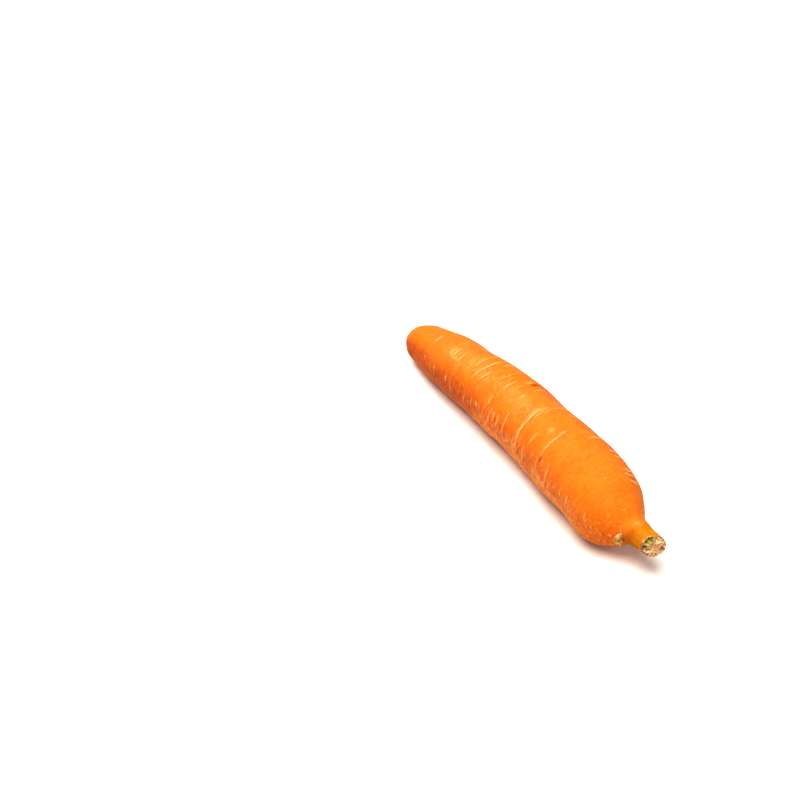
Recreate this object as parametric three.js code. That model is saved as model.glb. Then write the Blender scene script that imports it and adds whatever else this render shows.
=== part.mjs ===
// A fresh carrot: one taproot lying on its side, with the cut bases of its leaf stalks still
// held in the neck of the crown, and one small cut side shoot on the shoulder.
// Millimetres, +Z up. The root's tip points to -X and its crown to +X.
// A station is a distance along X from the blunt tip. An angle goes round the root:
// 0 on the far side (+Y), 90 on top (+Z), 180 on the near side (-Y), 270 underneath.
import * as THREE from 'three';

// ---- driving dimensions ---------------------------------------------------------------
const BODY_LENGTH = 180;        // blunt tip to the top of the shoulder
const TAIL_LENGTH = 2.4;        // dried remnant of the thin root below the tip
const TAIL_RADIUS = 1.5;
const TIP_ROUNDING = 12.6;      // stations over which the tip closes
const NECK_END = 195.0;         // the neck's rim, on its axis
const CUT_SLANT = 2.0;          // how far the cut leans back at the rim, towards CUT_ANGLE
const CUT_ANGLE = 168;
const SETTLE = 0.28;            // how far the underside is pressed flat where it lies
const CLEARANCE = 0.3;          // gap between two sub-parts that touch

// [station, radius] of the body before its tip is rounded off, then of shoulder and neck
const GIRTH = [
  [0, 9.8], [5, 10.0], [18, 11.6], [36, 13.9], [63, 15.5], [90, 16.6], [117, 17.1], [140, 18.1],
  [156, 17.7], [160, 17.5], [165, 16.7], [170, 14.7], [174, 12.1], [177, 9.5], [179.3, 7.8],
  [181.5, 6.8], [184, 6.3], [188, 5.6], [195, 5.3],
];
// [station, sideways place of the axis]: the root is bowed, and its neck stands off centre
const BOW = [
  [0, -6.9], [30, -3.4], [60, 0], [90, 2.7], [120, 4], [150, 3.9], [165, 3.3], [170, 3.2],
  [174, 3.8], [177, 4.6], [179.3, 5.2], [181.5, 5.7], [184, 6.1], [188, 6.5], [195, 7.0],
];
// [station, height of the axis]: the underside lies along the ground as far as the shoulder
const HEIGHT = [
  [0, 10.0], [5, 10.0], [18, 11.6], [36, 13.9], [63, 15.5], [90, 16.6], [117, 17.1], [140, 18.1],
  [158, 17.5], [171, 16.4], [177, 15.9], [184, 16.1], [195, 17.1],
];
// on one side the shoulder grows past the foot of the neck, in a lobe
const LOBE_ANGLE = 212;
const LOBE_HALF_WIDTH = 70;
const LOBE_REACH = [
  [160, 0], [167, 0.3], [172, 1.3], [177, 2.6], [179.3, 2.5], [181.5, 0.2], [183.4, -1.3], [188, 0],
];

// [station, angle, half its arc, depth] of the folds that cross the skin, in mm and degrees
const FOLDS = [
  [24, 150, 45, 0.3], [41, 95, 50, 0.35], [52, 190, 40, 0.3], [66, 120, 55, 0.35],
  [79, 60, 45, 0.35], [93, 165, 60, 0.4], [104, 100, 50, 0.35], [118, 205, 45, 0.35],
  [131, 70, 50, 0.3], [147, 150, 40, 0.25], [86, 340, 40, 0.3], [58, 330, 45, 0.35],
  [122, 350, 50, 0.3], [34, 20, 45, 0.3], [140, 20, 45, 0.25], [74, 225, 35, 0.3],
];
const FOLD_WIDTH = 1.5;
// [turns round the root, half waves along it, phase, height] of the slow swellings of the skin
const SWELLS = [[1, 5, 0.6, 0.25], [2, 8, 2.1, 0.22], [3, 13, 4.0, 0.16], [5, 6, 1.2, 0.1]];
const BELLY_ANGLE = 270;
const BELLY_HALF_WIDTH = 38;    // the relief fades out on the strip that the root lies on

// the neck is a wall of skin round the cut leaf stalks
const STALKS = 5;
const STALK_TURN = 121;         // angle of the first stalk
const NECK_RIBS = 0.16;         // how far the stalks swell the outside of the neck
const WALL = 0.7;
const SOCKET_DEPTH = 3.4;
const RIM_RAGGED = 0.3;         // height of the torn edge
// [depth, half its arc] of the hollow in each stalk, from STALK_TURN onwards
const HOLLOWS = [[2.3, 30], [1.5, 25], [1.1, 24], [1.7, 22], [1.3, 26]];
const HOLLOW_RADIUS = 0.68;     // of the stalks' radius
const HOLLOW_WIDTH = 0.17;
const PITH_RADIUS = 0.3;
const PITH_DIP = 0.5;
const STALK_PROUD = 0.5;        // how far the stalks stand out of the wall

// the side shoot, cut short on the shoulder's lobe
const SHOOT_STATION = 180.5;
const SHOOT_ANGLE = 195;
const SHOOT_HALF_LENGTH = 2.1;
const SHOOT_HALF_ARC = 26;
const SHOOT_HEIGHT = 0.9;
const SHOOT_EDGE = 0.35;
const SHOOT_RIBS = 7;

const ROUND_STEPS = 52;
const BODY_STEPS = 72;
const CROWN_STEPS = 22;
const STALK_ROUND_STEPS = 50;
const STALK_RINGS = 12;
const SHOOT_ROUND_STEPS = 28;
const SHOOT_RINGS = 5;

// ---- small helpers --------------------------------------------------------------------
const radians = THREE.MathUtils.degToRad;
const smooth = THREE.MathUtils.smoothstep;

// a curve through [place, value] pairs that never overshoots them
function through(pairs, place) {
  const last = pairs.length - 1;
  if (place <= pairs[0][0]) return pairs[0][1];
  if (place >= pairs[last][0]) return pairs[last][1];
  const i = pairs.findIndex((pair) => pair[0] > place) - 1;
  const slope = (k) => (pairs[k + 1][1] - pairs[k][1]) / (pairs[k + 1][0] - pairs[k][0]);
  const tangent = (k) => {
    if (k === 0) return slope(0);
    if (k === last) return slope(last - 1);
    const before = slope(k - 1);
    const after = slope(k);
    return before * after <= 0 ? 0 : (2 * before * after) / (before + after);
  };
  const span = pairs[i + 1][0] - pairs[i][0];
  const t = (place - pairs[i][0]) / span;
  const leaving = (pairs[i][1] * (1 + 2 * t) + tangent(i) * span * t) * (1 - t) ** 2;
  const arriving = (pairs[i + 1][1] * (3 - 2 * t) - tangent(i + 1) * span * (1 - t)) * t ** 2;
  return leaving + arriving;
}

// how far apart two angles are, 0 to 180
function apart(angle, other) {
  return Math.abs(((angle - other + 540) % 360) - 180);
}

// 1 at an angle, falling smoothly to 0 at half an arc from it
function within(angle, middle, half) {
  return 1 - smooth(apart(angle, middle), 0, half);
}

function ringOf(steps, pointAt) {
  return Array.from({ length: steps }, (_, k) => pointAt((360 * k) / steps));
}

// joins a first point, rings of points and a last point into one closed solid
function closedLoft(first, rings, last) {
  const count = rings[0].length;
  const points = [first, ...rings.flat(), last];
  const end = points.length - 1;
  const at = (ring, k) => 1 + ring * count + (k % count);
  const faces = [];
  for (let k = 0; k < count; k += 1) {
    faces.push(0, at(0, k + 1), at(0, k));
    for (let ring = 0; ring < rings.length - 1; ring += 1) {
      faces.push(at(ring, k), at(ring + 1, k + 1), at(ring + 1, k));
      faces.push(at(ring, k), at(ring, k + 1), at(ring + 1, k + 1));
    }
    faces.push(at(rings.length - 1, k), at(rings.length - 1, k + 1), end);
  }
  const geometry = new THREE.BufferGeometry();
  const numbers = points.flatMap((point) => point.toArray());
  geometry.setAttribute('position', new THREE.Float32BufferAttribute(numbers, 3));
  geometry.setIndex(faces);
  geometry.computeVertexNormals();
  return geometry;
}

// ---- taproot --------------------------------------------------------------------------
function axisPoint(station) {
  return new THREE.Vector3(station, through(BOW, station), through(HEIGHT, station) - SETTLE);
}

function plainRadius(station) {
  if (station < 0) return TAIL_RADIUS * (1 + station / TAIL_LENGTH) ** 0.6;
  const closing = 1 - Math.min(station / TIP_ROUNDING, 1);
  return Math.max(TAIL_RADIUS, through(GIRTH, station) * Math.sqrt(1 - closing ** 2));
}

function skinRelief(station, angle) {
  let height = 0;
  for (const [turns, waves, phase, swell] of SWELLS) {
    const along = (waves * Math.PI * station) / BODY_LENGTH;
    height += swell * Math.sin(turns * radians(angle) + along + phase);
  }
  for (const [place, middle, half, depth] of FOLDS) {
    const across = Math.exp(-(((station - place) / FOLD_WIDTH) ** 2));
    height -= depth * across * within(angle, middle, half);
  }
  const onBody = smooth(station, 2, 16) * (1 - smooth(station, 168, 180));
  const offBelly = smooth(apart(angle, BELLY_ANGLE), BELLY_HALF_WIDTH / 2, BELLY_HALF_WIDTH);
  return height * onBody * offBelly;
}

function neckRibs(station, angle) {
  const swell = Math.cos(STALKS * radians(angle - STALK_TURN));
  return NECK_RIBS * swell * smooth(station, 183, NECK_END);
}

// how far the slanted cut leans back at a point of the neck
function slant(station, angle) {
  return CUT_SLANT * Math.cos(radians(angle - CUT_ANGLE)) * smooth(station, 183, NECK_END);
}

function ragged(angle) {
  const turn = radians(angle);
  return RIM_RAGGED * (0.6 * Math.sin(3 * turn + 1) + 0.4 * Math.sin(8 * turn));
}

function taprootPoint(station, angle) {
  const radius = plainRadius(station) + skinRelief(station, angle) + neckRibs(station, angle);
  const lobe = through(LOBE_REACH, station) * within(angle, LOBE_ANGLE, LOBE_HALF_WIDTH);
  const turn = radians(angle);
  const point = axisPoint(station);
  point.x += lobe - slant(station, angle);
  point.y += radius * Math.cos(turn);
  point.z = Math.max(point.z + radius * Math.sin(turn), 0);
  return point;
}

// a point inside the neck: its radius is a share of the neck's, and depth is below the rim
function neckPoint(share, inset, depth, angle) {
  const turn = radians(angle);
  const reach = share * (plainRadius(NECK_END) + neckRibs(NECK_END, angle) - inset);
  const point = axisPoint(NECK_END);
  const lean = slant(NECK_END, angle) * (reach / plainRadius(NECK_END));
  return point.add(new THREE.Vector3(-depth - lean, reach * Math.cos(turn), reach * Math.sin(turn)));
}

function taprootStations() {
  const tailAndTip = [-2.2, -1.4, -0.3, 0.3, 0.9, 1.8, 3.0, 4.6, 6.8, 9.3];
  const bodyStart = 12;
  const bodyEnd = 158;
  const neckTop = NECK_END - 0.6;
  const body = (i) => bodyStart + ((bodyEnd - bodyStart) * i) / BODY_STEPS;
  const crown = (i) => bodyEnd + ((neckTop - bodyEnd) * (i + 1)) / CROWN_STEPS;
  return [
    ...tailAndTip,
    ...Array.from({ length: BODY_STEPS + 1 }, (_, i) => body(i)),
    ...Array.from({ length: CROWN_STEPS }, (_, i) => crown(i)),
  ];
}

function taprootGeometry() {
  const skin = taprootStations().map((s) => ringOf(ROUND_STEPS, (a) => taprootPoint(s, a)));
  const rim = ringOf(ROUND_STEPS, (a) => neckPoint(1, 0.12, -ragged(a), a));
  const lip = ringOf(ROUND_STEPS, (a) => neckPoint(1, WALL, -ragged(a), a));
  const socketFoot = ringOf(ROUND_STEPS, (a) => neckPoint(1, WALL, SOCKET_DEPTH, a));
  const tip = axisPoint(0).setX(-TAIL_LENGTH);
  return closedLoft(tip, [...skin, rim, lip, socketFoot], neckPoint(0, 0, SOCKET_DEPTH, 0));
}

// ---- cut leaf stalks ------------------------------------------------------------------
// height of the cut face above the neck's rim: a hollow in each stalk, pith in the middle
function cutFace(share, angle) {
  let height = STALK_PROUD + 0.35 * Math.cos(radians(angle - CUT_ANGLE - 180)) * share;
  HOLLOWS.forEach(([depth, half], k) => {
    const middle = STALK_TURN + (k * 360) / STALKS;
    const across = Math.exp(-(((share - HOLLOW_RADIUS) / HOLLOW_WIDTH) ** 2));
    height -= depth * across * within(angle, middle, half);
  });
  const between = Math.cos((STALKS * radians(angle - STALK_TURN)) / 2) ** 2;
  height -= 0.25 * (1 - between) * smooth(share, 0.4, 1);
  height += 0.12 * Math.sin(9 * radians(angle) + 5 * share) * share;
  return height - PITH_DIP * Math.exp(-((share / PITH_RADIUS) ** 2));
}

function stalksGeometry() {
  const fit = WALL + CLEARANCE;
  const foot = SOCKET_DEPTH - CLEARANCE;
  const shares = Array.from({ length: STALK_RINGS }, (_, i) => 1 - i / STALK_RINGS);
  const facePoint = (share, angle) => neckPoint(share, fit, -cutFace(share, angle), angle);
  const face = shares.map((share) => ringOf(STALK_ROUND_STEPS, (a) => facePoint(share, a)));
  const footRing = ringOf(STALK_ROUND_STEPS, (a) => neckPoint(1, fit, foot, a));
  return closedLoft(neckPoint(0, 0, foot, 0), [footRing, ...face], facePoint(0, 0));
}

// ---- side shoot -----------------------------------------------------------------------
// a low ribbed cap that follows the skin under it
function shootPoint(share, turnAngle, height) {
  const turn = radians(turnAngle);
  const station = SHOOT_STATION + SHOOT_HALF_LENGTH * share * Math.sin(turn);
  const angle = SHOOT_ANGLE + SHOOT_HALF_ARC * share * Math.cos(turn);
  const step = 0.1;
  const point = taprootPoint(station, angle);
  const along = taprootPoint(station + step, angle).sub(point);
  const round = taprootPoint(station, angle + step).sub(point);
  const outward = round.cross(along).normalize();
  return point.addScaledVector(outward, height);
}

function shootGeometry() {
  const top = (share, turn) => {
    const ribs = 0.14 * Math.cos(SHOOT_RIBS * radians(turn)) * Math.sin(Math.PI * share);
    const crater = 0.35 * Math.exp(-((share / 0.3) ** 2));
    return CLEARANCE + SHOOT_EDGE + SHOOT_HEIGHT * Math.sqrt(1 - share ** 2) + ribs - crater;
  };
  const shares = Array.from({ length: SHOOT_RINGS }, (_, i) => 1 - i / SHOOT_RINGS);
  const under = shares.map((s) => ringOf(SHOOT_ROUND_STEPS, (t) => shootPoint(s, t, CLEARANCE)));
  const over = shares.map((s) => ringOf(SHOOT_ROUND_STEPS, (t) => shootPoint(s, t, top(s, t))));
  const underMiddle = shootPoint(0, 0, CLEARANCE);
  return closedLoft(underMiddle, [...under.reverse(), ...over], shootPoint(0, 0, top(0, 0)));
}

// ---- assembly -------------------------------------------------------------------------
function named(name, geometry, finish) {
  const mesh = new THREE.Mesh(geometry, new THREE.MeshStandardMaterial(finish));
  mesh.name = name;
  return mesh;
}

const carrot = new THREE.Group();
carrot.add(named('taproot', taprootGeometry(), { color: 0xf58a26, roughness: 0.45, metalness: 0 }));
carrot.add(named('leaf_stalks', stalksGeometry(), { color: 0xbfa45c, roughness: 0.75, metalness: 0 }));
carrot.add(named('side_shoot', shootGeometry(), { color: 0xd8a55a, roughness: 0.7, metalness: 0 }));

// the origin is under the middle of the whole root, on the ground
const extent = new THREE.Box3().setFromObject(carrot);
const middle = extent.getCenter(new THREE.Vector3());
carrot.position.set(-middle.x, -middle.y, -extent.min.z);

export default carrot;
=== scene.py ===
# %% [markdown]
# # A fresh carrot
# This lesson dresses a packed carrot in Blender: one taproot lying on its side, with the cut
# bases of its leaf stalks in the neck and a small cut side shoot on the shoulder.
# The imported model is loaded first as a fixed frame. It holds the sizes, and nothing in it is
# moved. Lengths are kept in millimetres while shapes are worked out, and turned to metres once.

import bpy
import numpy as np
from mathutils import Matrix, Vector


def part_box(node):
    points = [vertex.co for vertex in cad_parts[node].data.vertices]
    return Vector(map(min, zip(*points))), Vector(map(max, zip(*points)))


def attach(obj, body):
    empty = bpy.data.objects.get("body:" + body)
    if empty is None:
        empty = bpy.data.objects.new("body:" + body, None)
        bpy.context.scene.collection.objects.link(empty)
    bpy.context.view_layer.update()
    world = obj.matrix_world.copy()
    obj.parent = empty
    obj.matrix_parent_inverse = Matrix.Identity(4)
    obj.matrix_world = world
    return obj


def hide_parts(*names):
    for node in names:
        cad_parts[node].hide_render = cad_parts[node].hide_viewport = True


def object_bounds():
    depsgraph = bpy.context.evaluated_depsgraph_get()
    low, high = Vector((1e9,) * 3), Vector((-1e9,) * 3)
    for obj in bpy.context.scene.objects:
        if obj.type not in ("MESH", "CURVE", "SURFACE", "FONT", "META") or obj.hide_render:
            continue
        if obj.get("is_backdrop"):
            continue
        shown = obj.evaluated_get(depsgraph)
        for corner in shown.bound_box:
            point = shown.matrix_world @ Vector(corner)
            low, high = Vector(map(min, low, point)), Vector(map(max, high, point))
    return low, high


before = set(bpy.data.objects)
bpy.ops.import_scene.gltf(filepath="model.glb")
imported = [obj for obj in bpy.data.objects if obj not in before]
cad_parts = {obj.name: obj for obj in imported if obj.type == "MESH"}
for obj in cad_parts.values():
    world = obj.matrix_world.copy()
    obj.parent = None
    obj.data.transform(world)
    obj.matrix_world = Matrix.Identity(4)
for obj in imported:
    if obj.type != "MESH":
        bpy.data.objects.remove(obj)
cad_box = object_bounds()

MM = 0.001
print("nodes", sorted(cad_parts), "box", [round(v, 4) for v in cad_box[1] - cad_box[0]])

# %% [markdown]
# ## The root's measurements
# A root like this is a long body whose girth changes slowly. It could be sculpted by eye, but it
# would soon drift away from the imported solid. A few stations along it say all that is needed.
# A station is a distance along X from the blunt tip. An angle goes round the root: 0 on the far
# side (+Y), 90 on top, 180 on the near side, 270 underneath. The same few numbers shaped the
# solid, and here they make a skin with about seventeen times as many triangles.

# %% Driving dimensions
BODY_LENGTH = 180
TAIL_LENGTH = 2.4                         # the dried thread left at the tip
TAIL_RADIUS = 1.5
TIP_ROUNDING = 12.6                       # how far the round end of the tip reaches
NECK_END = 195.0
CUT_SLANT = 2.0                           # how far the cut across the neck leans
CUT_ANGLE = 168                           # the side on which the cut leaves the neck shortest
STALK_TURN = 121                          # the angle of the first leaf stalk
SETTLE = 0.28                             # how much of the underside is pressed flat

GIRTH = [                                 # (station, radius)
    (0, 9.8), (5, 10.0), (18, 11.6), (36, 13.9), (63, 15.5), (90, 16.6), (117, 17.1), (140, 18.1),
    (156, 17.7), (160, 17.5), (165, 16.7), (170, 14.7), (174, 12.1), (177, 9.5), (179.3, 7.8),
    (181.5, 6.8), (184, 6.3), (188, 5.6), (195, 5.3),
]
BOW = [                                   # (station, how far the axis lies to the side)
    (0, -6.9), (30, -3.4), (60, 0), (90, 2.7), (120, 4), (150, 3.9), (165, 3.3), (170, 3.2),
    (174, 3.8), (177, 4.6), (179.3, 5.2), (181.5, 5.7), (184, 6.1), (188, 6.5), (195, 7.0),
]
HEIGHT = [                                # (station, how high the axis lies)
    (0, 10.0), (5, 10.0), (18, 11.6), (36, 13.9), (63, 15.5), (90, 16.6), (117, 17.1), (140, 18.1),
    (158, 17.5), (171, 16.4), (177, 15.9), (184, 16.1), (195, 17.1),
]
LOBE_ANGLE = 212
LOBE_HALF_WIDTH = 70
LOBE_REACH = [                            # (station, how far the lobe pushes the skin outward)
    (160, 0), (167, 0.3), (172, 1.3), (177, 2.6), (179.3, 2.5), (181.5, 0.2), (183.4, -1.3),
    (188, 0),
]
print("body", BODY_LENGTH, "mm, neck ends at", NECK_END, "mm")

# %% Curves through a few values
def through(pairs, place):
    """A smooth curve through (place, value) pairs that never overshoots them."""
    places, values = np.array(pairs, float).T
    slopes = np.diff(values) / np.diff(places)
    before, after = slopes[:-1], slopes[1:]
    rising = before * after > 0
    mean = 2 * before * after / np.where(rising, before + after, 1)
    tangents = np.concatenate([slopes[:1], np.where(rising, mean, 0), slopes[-1:]])
    x = np.clip(place, places[0], places[-1])
    i = np.clip(np.searchsorted(places, x, side="right") - 1, 0, len(places) - 2)
    span = places[i + 1] - places[i]
    t = (x - places[i]) / span
    leaving = (values[i] * (1 + 2 * t) + tangents[i] * span * t) * (1 - t) ** 2
    arriving = (values[i + 1] * (3 - 2 * t) - tangents[i + 1] * span * (1 - t)) * t ** 2
    return leaving + arriving


def smooth(value, low, high):
    """0 below low, 1 above high, and an even S between."""
    t = np.clip((value - low) / (high - low), 0, 1)
    return t * t * (3 - 2 * t)


def apart(angle, other):
    """How far apart two angles are, 0 to 180."""
    return np.abs((angle - other + 540) % 360 - 180)


def within(angle, middle, half):
    """1 at an angle, falling smoothly to 0 at half an arc from it."""
    return 1 - smooth(apart(angle, middle), 0, half)


def bell(distance, width):
    return np.exp(-((distance / width) ** 2))


print("girth at mid body", round(float(through(GIRTH, 90)), 2), "mm")

# %% [markdown]
# ## Noise that closes round the root
# Skin varies in soft patches. Blender's noise textures can colour them, but a shape needs the
# same patches as numbers. They could come from a displacement texture, which would leave a seam
# where it closes. A coarse lattice of seeded random values, smoothed between, wraps round the
# root without one and is the same in every run.

# %% Seeded noise
LATTICE_LENGTH = 260                      # mm of root that the lattice covers
LATTICE_START = 20                        # mm of that before the tip


def lattice_noise(station, angle, length, arc, seed):
    """Soft noise, -1 to 1, with patches about `length` mm long and `arc` degrees round."""
    columns = int(round(360 / arc))
    rows = int(LATTICE_LENGTH / length) + 4
    values = np.random.RandomState(seed).uniform(-1, 1, (rows, columns))
    u = (station + LATTICE_START) / length
    v = (angle % 360) / 360 * columns
    i, j = np.floor(u).astype(int), np.floor(v).astype(int)
    fu, fv = smooth(u - i, 0, 1), smooth(v - j, 0, 1)
    i = np.clip(i, 0, rows - 2)
    near, far = j % columns, (j + 1) % columns
    low = values[i, near] * (1 - fv) + values[i, far] * fv
    high = values[i + 1, near] * (1 - fv) + values[i + 1, far] * fv
    return low * (1 - fu) + high * fu


one_spot = lattice_noise(np.array(50.0), np.array(90.0), 6, 20, 1)
print("noise at one spot", round(float(one_spot), 3))

# %% [markdown]
# ## Folds and swellings
# The skin rises and falls slowly, and shallow folds cross it where the root grew in spurts. They
# could be pushed in with a brush. Written as places and depths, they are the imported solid's own,
# so the fine skin keeps its form. They fade out on the strip that the root lies on.

# %% The form that the solid has too
# (station, middle angle, half arc, depth) of each fold
FOLDS = [
    (24, 150, 45, 0.3), (41, 95, 50, 0.35), (52, 190, 40, 0.3), (66, 120, 55, 0.35),
    (79, 60, 45, 0.35), (93, 165, 60, 0.4), (104, 100, 50, 0.35), (118, 205, 45, 0.35),
    (131, 70, 50, 0.3), (147, 150, 40, 0.25), (86, 340, 40, 0.3), (58, 330, 45, 0.35),
    (122, 350, 50, 0.3), (34, 20, 45, 0.3), (140, 20, 45, 0.25), (74, 225, 35, 0.3),
]
FOLD_WIDTH = 1.5
# (waves round, waves along, phase, height) of each swelling
SWELLS = [(1, 5, 0.6, 0.25), (2, 8, 2.1, 0.22), (3, 13, 4.0, 0.16), (5, 6, 1.2, 0.1)]
BELLY_ANGLE = 270
BELLY_HALF_WIDTH = 38
FORM_RISES = (2, 16)                      # stations between which the form comes in at the tip
FORM_FADES = (168, 180)                   # and dies out at the shoulder


def off_belly(angle):
    return smooth(apart(angle, BELLY_ANGLE), BELLY_HALF_WIDTH / 2, BELLY_HALF_WIDTH)


def skin_relief(station, angle):
    height = 0
    for turns, waves, phase, swell in SWELLS:
        along = waves * np.pi * station / BODY_LENGTH
        height = height + swell * np.sin(turns * np.radians(angle) + along + phase)
    for place, middle, half, depth in FOLDS:
        height = height - depth * bell(station - place, FOLD_WIDTH) * within(angle, middle, half)
    on_body = smooth(station, *FORM_RISES) * (1 - smooth(station, *FORM_FADES))
    return height * on_body * off_belly(angle)


print("folds", len(FOLDS), "swellings", len(SWELLS))

# %% [markdown]
# ## Cross marks
# A carrot breathes through lenticels: pale corky slits that run round it, a few millimetres to a
# few centimetres long. They are what tells a carrot from a smooth cone. A stretched noise would
# give streaks of one kind all over. Here the ones on the near side are listed one by one, and
# seeded draws add the rest: marks on the far side, hairlines all round, short ticks on the near
# flank and crowded dashes on the lower shoulder. Each is a shallow groove with low lips, with
# painted shade in a deeper orange along its side towards the crown, and the masks that shape it
# also colour it.

# %% The marks listed one by one
# (station, first angle, last angle, width in mm, paleness)
CHOSEN_MARKS = [
    (27.0, 96, 121, 0.9, 0.9), (26.5, 36, 74, 0.7, 0.7), (27.5, 153, 169, 0.6, 0.6),
    (38.5, 158, 173, 0.6, 0.7), (39.5, 58, 108, 0.6, 0.55), (42.0, 104, 124, 1.2, 0.6),
    (49.5, 102, 128, 0.7, 0.7), (49.3, 159, 173, 0.8, 0.95), (53.0, 158, 196, 0.6, 0.7),
    (49.0, 34, 78, 0.6, 0.8), (60.0, 68, 121, 0.7, 0.75), (65.0, 60, 136, 0.7, 0.85),
    (69.5, 102, 129, 1.0, 0.85), (61.0, 152, 180, 0.5, 0.5), (64.8, 158, 190, 0.6, 0.65),
    (69.0, 52, 81, 0.8, 0.8), (73.5, 176, 198, 0.6, 0.6), (75.0, 161, 173, 0.9, 0.95),
    (77.3, 70, 119, 0.6, 0.6), (82.5, 133, 151, 1.1, 0.9), (81.5, 150, 183, 0.5, 0.6),
    (86.5, 144, 187, 0.7, 0.8), (83.5, 88, 120, 1.0, 0.8), (87.5, 84, 113, 0.6, 0.5),
    (86.2, 55, 82, 0.7, 0.85), (93.2, 50, 79, 0.6, 0.85), (92.6, 148, 180, 0.7, 0.7),
    (98.0, 134, 174, 0.8, 0.8), (95.0, 98, 111, 1.2, 0.7), (101.0, 180, 205, 0.6, 0.6),
    (108.6, 84, 184, 1.1, 0.9), (111.0, 38, 106, 0.6, 0.65), (117.5, 44, 73, 0.7, 0.8),
    (116.8, 156, 194, 0.9, 0.75), (119.0, 128, 152, 0.7, 0.5), (123.0, 107, 116, 1.0, 0.5),
    (129.0, 94, 112, 1.0, 0.5), (130.0, 105, 151, 0.8, 0.95), (138.3, 146, 188, 0.8, 0.75),
    (138.0, 44, 77, 1.1, 1.0), (139.6, 46, 60, 0.7, 1.0), (148.0, 42, 62, 1.0, 1.0),
    (151.0, 38, 58, 1.0, 1.0), (153.2, 36, 54, 0.9, 0.9), (155.7, 159, 184, 0.9, 0.95),
    (157.2, 164, 178, 0.5, 0.7), (160.5, 40, 60, 0.9, 1.0), (163.0, 38, 62, 1.1, 1.0),
    (166.2, 36, 58, 1.1, 1.0), (168.5, 157, 171, 0.6, 0.6), (18.0, 60, 95, 0.5, 0.4),
    (13.5, 150, 172, 0.5, 0.35), (107.2, 90, 128, 0.8, 0.6), (110.2, 96, 118, 0.8, 0.5),
    (106.9, 158, 180, 0.7, 0.8), (110.0, 160, 186, 0.9, 0.95), (111.6, 166, 188, 0.6, 0.8),
    (104.6, 166, 184, 0.6, 0.7), (113.6, 172, 192, 0.5, 0.6), (90.4, 152, 172, 0.6, 0.8),
    (44.8, 103, 126, 1.2, 0.7), (46.8, 108, 124, 0.8, 0.55),
]
print("marks placed by hand", len(CHOSEN_MARKS))

# %% The marks drawn at random
MARK_SEED = 11
HIDDEN_ARC = (196, 404)                   # the underside and far side, past 360 to 44 degrees
WHOLE_ROUND = (0, 360)
CROWDED = (32, 128)                       # stations between which marks lie closest
SPARSER = 2.2                             # how much wider their gaps are elsewhere


def drawn_marks(seed, gap, within_arc, arcs, widths, strengths, reach=(12.0, 168.0)):
    """Cross marks at random, from (lowest, highest) arcs, widths and strengths."""
    rng = np.random.RandomState(seed)
    marks = []
    station = reach[0]
    while station < reach[1]:
        sparse = 1.0 if CROWDED[0] < station < CROWDED[1] else SPARSER
        station += gap * rng.uniform(0.5, 1.5) * sparse
        arc = rng.uniform(*arcs)
        first = rng.uniform(within_arc[0], within_arc[1] - arc)
        width, strength = rng.uniform(*widths), rng.uniform(*strengths)
        marks.append((station, first, first + arc, width, strength))
    return marks


hidden_marks = drawn_marks(MARK_SEED, 2.6, HIDDEN_ARC, (10, 48), (0.4, 1.0), (0.4, 0.95))
hairlines = drawn_marks(MARK_SEED + 1, 0.8, WHOLE_ROUND, (6, 30), (0.25, 0.45), (0.12, 0.5))
dashes = drawn_marks(
    MARK_SEED + 2, 0.22, (158, 226), (3, 8), (0.4, 0.7), (0.5, 1.0), reach=(134.0, 177.0))
ticks = drawn_marks(
    MARK_SEED + 3, 2.4, (146, 204), (8, 20), (0.4, 0.6), (0.4, 0.85), reach=(60.0, 130.0))
MARKS = CHOSEN_MARKS + hidden_marks + hairlines + dashes + ticks
print("marks in all", len(MARKS))

# %% The marks as masks over the skin
HALO_WIDTH = 1.1                          # mm that the chalky skin beside a mark reaches
# Painted shade lies beside each mark, this many mm from it towards the crown, and as wide.
MARK_SHADE_GAP = 0.5                            # mm from a mark to its deeper orange edge


def cross_marks(station, angle):
    """Paleness, groove, chalky halo and painted shade beside all the marks, 0 to 1 over the skin.
    """
    wander = 0.3 * lattice_noise(station, angle, 9, 6, 21)
    fray = lattice_noise(station, angle, 0.8, 3, 22)
    unbroken = smooth(lattice_noise(station, angle, 1.1, 4, 23), -0.75, 0.15)
    pale = np.zeros_like(station)
    groove = np.zeros_like(station)
    halo = np.zeros_like(station)
    mark_shade = np.zeros_like(station)
    for place, first, last, width, strength in MARKS:
        middle, arc = (first + last) / 2, (last - first) / 2
        along = (angle - middle + 540) % 360 - 180
        sway = 0.25 * np.sin(place * 7 + along / 11)
        offset = station - place - wander - sway - 0.22 * fray
        across = np.abs(offset)
        taper = np.clip(1 - (along / arc) ** 2, 0, 1)
        half = width * (0.2 + 0.3 * taper)
        near = (1 - smooth(across, 0.5 * half, 1.25 * half)) * taper ** 0.35
        pale = np.maximum(pale, strength * near * (0.4 + 0.6 * unbroken))
        groove = np.maximum(groove, strength * width * bell(across, 0.7 * half) * taper ** 0.5)
        halo = np.maximum(halo, strength * width * bell(across, HALO_WIDTH) * taper)
        # Painted shade along the mark's side towards the crown.
        beside = bell(offset - half - MARK_SHADE_GAP, MARK_SHADE_GAP)
        mark_shade = np.maximum(mark_shade, strength ** 2 * beside * taper ** 0.5)
    return np.clip(pale, 0, 1), groove, np.clip(halo, 0, 1), mark_shade * unbroken


print("paleness on a mark", cross_marks(np.array([108.6]), np.array([120.0]))[0].round(2))
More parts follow.
